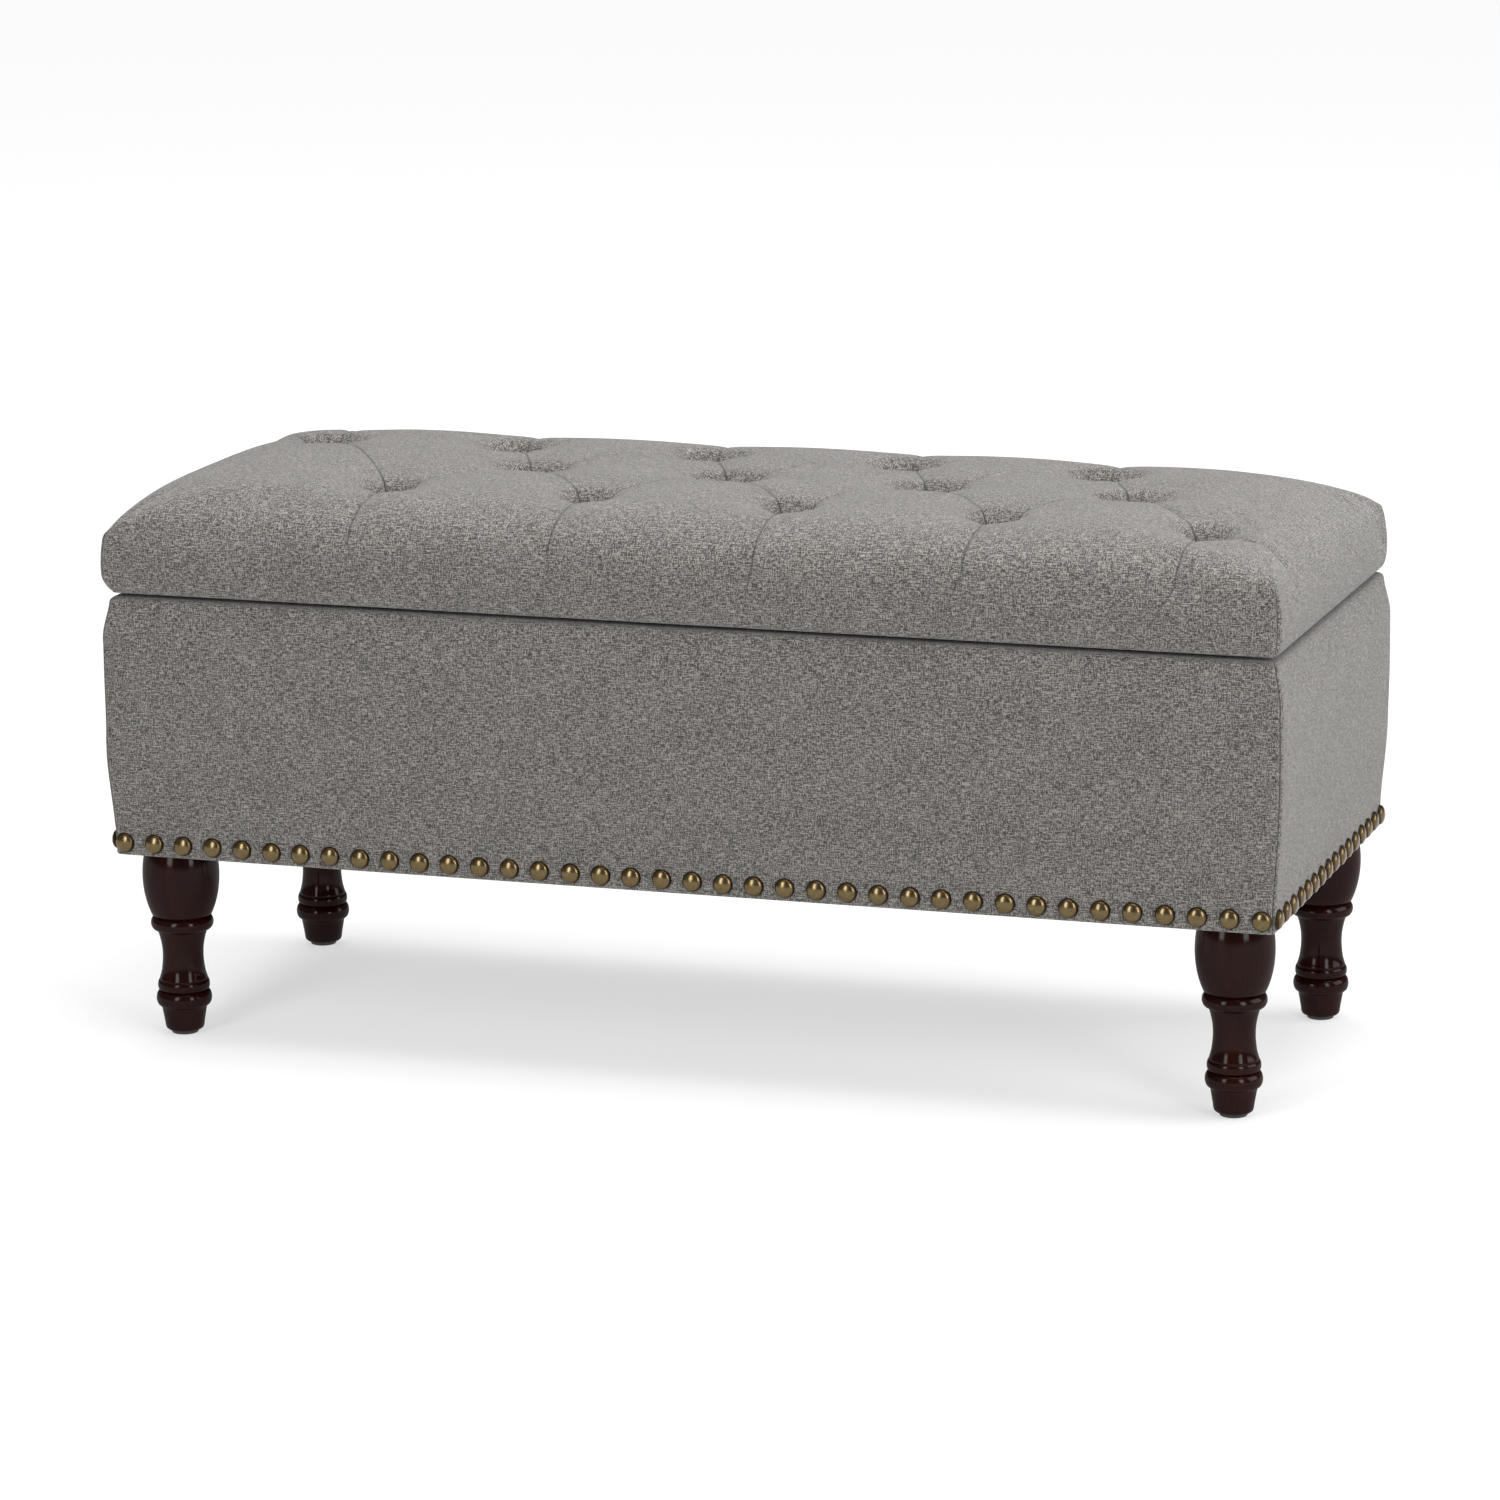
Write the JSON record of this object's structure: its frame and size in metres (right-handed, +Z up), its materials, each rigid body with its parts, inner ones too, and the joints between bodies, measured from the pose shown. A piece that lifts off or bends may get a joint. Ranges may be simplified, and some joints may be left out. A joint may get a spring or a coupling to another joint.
{
  "type": "storage bench",
  "caption": "Rectangular upholstered storage bench on turned wooden legs: a nail-trimmed box with a hinged, crowned and button-tufted lid that opens to a lined compartment.",
  "frame": {"origin": "on the floor, under the middle of the bench", "axes": "+Z up, +X along the bench to the right as seen from the front, front face looks along -Y"},
  "size_m": [1.0096, 0.4117, 0.478],
  "materials": {
    "cover_cloth": "heathered grey linen-look weave, matt",
    "black_cloth": "thin non-woven black cloth",
    "foam": "open-cell cushion foam",
    "plywood": "unfinished plywood",
    "post_wood": "planed softwood",
    "leg_wood": "dark espresso stain under semi-gloss lacquer",
    "glide_plastic": "moulded black plastic",
    "nail_brass": "antiqued brass with dark rims",
    "zinc_steel": "bright zinc plate",
    "stay_steel": "black powder coat"
  },
  "bodies": {
    "box": {"front_panel": "plywood", "back_panel": "plywood", "left_panel": "plywood", "right_panel": "plywood", "floor_panel": "plywood", "body_cover": "cover_cloth", "storage_lining": "black_cloth", "dust_cover": "black_cloth", "nail_row_front": "nail_brass", "nail_row_left": "nail_brass", "nail_row_right": "nail_brass", "corner_post_front_left": "post_wood", "corner_post_front_right": "post_wood", "corner_post_back_left": "post_wood", "corner_post_back_right": "post_wood", "leg_front_left": "leg_wood", "leg_front_right": "leg_wood", "leg_back_left": "leg_wood", "leg_back_right": "leg_wood", "leg_bolt_front_left": "zinc_steel", "leg_bolt_front_right": "zinc_steel", "leg_bolt_back_left": "zinc_steel", "leg_bolt_back_right": "zinc_steel", "foot_glide_front_left": "glide_plastic", "foot_glide_front_right": "glide_plastic", "foot_glide_back_left": "glide_plastic", "foot_glide_back_right": "glide_plastic", "hinge_body_leaf_left": "zinc_steel", "hinge_body_leaf_right": "zinc_steel", "hinge_pin_left": "zinc_steel", "hinge_pin_right": "zinc_steel", "stay_wall_plate_left": "stay_steel", "stay_wall_plate_right": "stay_steel"},
    "lid": {"lid_board": "plywood", "lid_foam": "foam", "lid_cover": "cover_cloth", "lid_lining": "black_cloth", "tuft_button_01": "cover_cloth", "tuft_button_02": "cover_cloth", "tuft_button_03": "cover_cloth", "tuft_button_04": "cover_cloth", "tuft_button_05": "cover_cloth", "tuft_button_06": "cover_cloth", "tuft_button_07": "cover_cloth", "tuft_button_08": "cover_cloth", "tuft_button_09": "cover_cloth", "tuft_button_10": "cover_cloth", "tuft_button_11": "cover_cloth", "tuft_button_12": "cover_cloth", "tuft_button_13": "cover_cloth", "tuft_button_14": "cover_cloth", "hinge_lid_leaf_left": "zinc_steel", "hinge_lid_leaf_right": "zinc_steel", "stay_lid_bracket_left": "stay_steel", "stay_lid_bracket_right": "stay_steel"},
    "stay_lower_left": {"stay_lower_arm_left": "stay_steel"},
    "stay_upper_left": {"stay_upper_arm_left": "stay_steel"},
    "stay_lower_right": {"stay_lower_arm_right": "stay_steel"},
    "stay_upper_right": {"stay_upper_arm_right": "stay_steel"}
  },
  "joints": [
    {"name": "lid_hinge", "type": "hinge", "parent": "box", "child": "lid", "pos_m": [0, 0.2037, 0.3845], "axis": [-1, 0, 0], "range_deg": [0, 95]},
    {"name": "stay_lower_pivot_left", "type": "hinge", "parent": "box", "child": "stay_lower_left", "pos_m": [-0.47685, 0.1187, 0.2995], "axis": [-1, 0, 0], "range_deg": [0, 95]},
    {"name": "stay_upper_pivot_left", "type": "hinge", "parent": "lid", "child": "stay_upper_left", "pos_m": [-0.47405, 0.1037, 0.372], "axis": [1, 0, 0], "range_deg": [0, 95]},
    {"name": "stay_lower_pivot_right", "type": "hinge", "parent": "box", "child": "stay_lower_right", "pos_m": [0.47685, 0.1187, 0.2995], "axis": [-1, 0, 0], "range_deg": [0, 95]},
    {"name": "stay_upper_pivot_right", "type": "hinge", "parent": "lid", "child": "stay_upper_right", "pos_m": [0.47405, 0.1037, 0.372], "axis": [1, 0, 0], "range_deg": [0, 95]}
  ],
  "couplings": [
    {"joint": "stay_lower_pivot_left", "follows": "lid_hinge", "ratio": 1},
    {"joint": "stay_lower_pivot_right", "follows": "lid_hinge", "ratio": 1},
    {"joint": "stay_upper_pivot_left", "follows": "lid_hinge", "ratio": 1},
    {"joint": "stay_upper_pivot_right", "follows": "lid_hinge", "ratio": 1}
  ]
}
